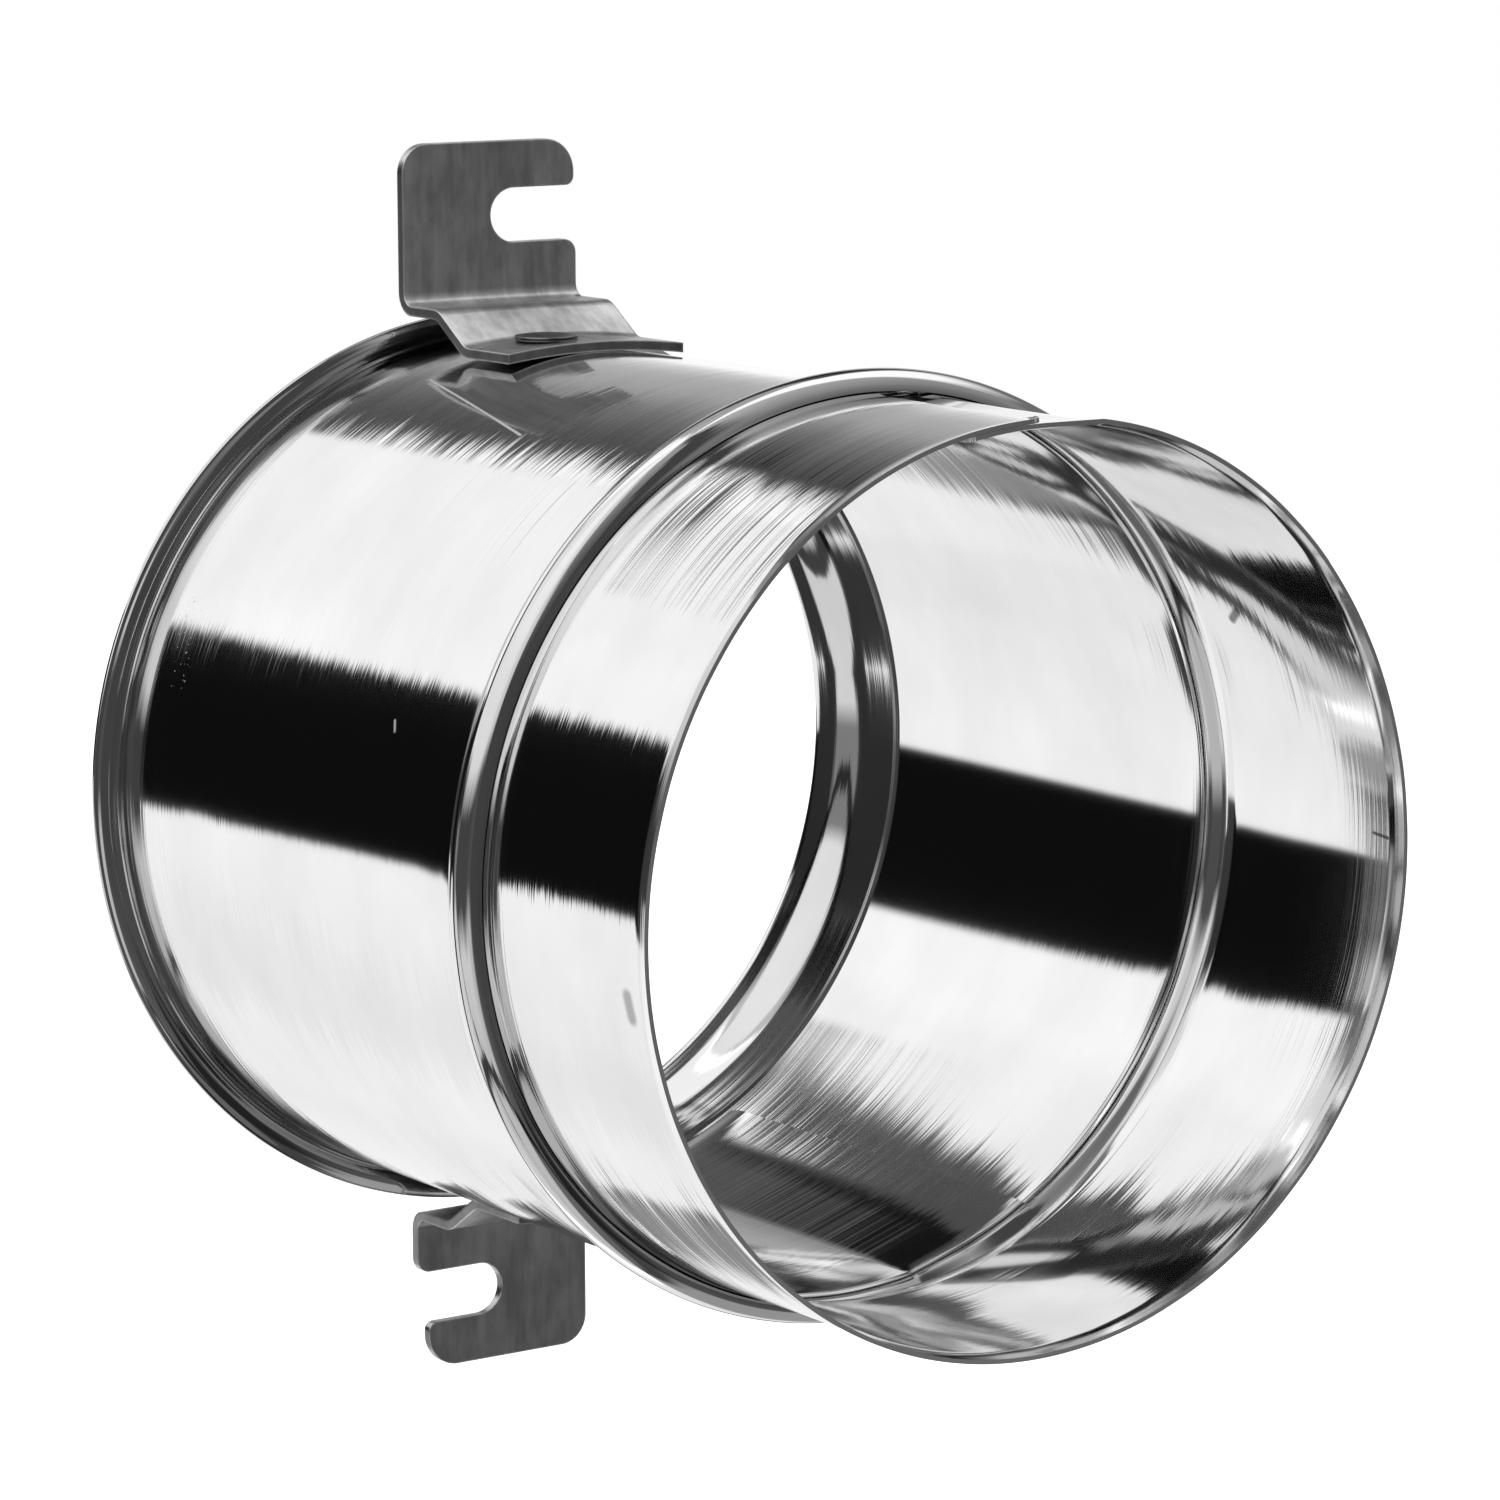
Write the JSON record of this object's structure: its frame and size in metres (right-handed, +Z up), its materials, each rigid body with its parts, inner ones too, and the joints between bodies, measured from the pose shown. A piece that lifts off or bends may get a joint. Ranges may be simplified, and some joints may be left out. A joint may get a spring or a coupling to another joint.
{
  "type": "flue pipe connector",
  "caption": "Short round flue pipe connector with a stop bead, a push-in spigot, a rolled end ring and slotted fixing brackets.",
  "frame": {"origin": "centre of the mating plane, the back of the end ring, on the tube's axis", "axes": "+Y along the tube's axis out of the mounting face, -Y out of the spigot, +Z up through the upper bracket"},
  "size_m": [0.1076, 0.11, 0.1476],
  "materials": {
    "sheet": "bright rolled stainless sheet with fine hairlines",
    "bracket_steel": "dull grey strip with a faint grain and bright cut edges",
    "rivet_steel": "dark satin steel"
  },
  "bodies": {
    "root": {"tube_shell": "sheet", "spigot_sleeve": "sheet", "end_ring": "sheet", "bracket_upper": "bracket_steel", "bracket_lower": "bracket_steel", "bracket_rivets": "rivet_steel"}
  },
  "joints": []
}
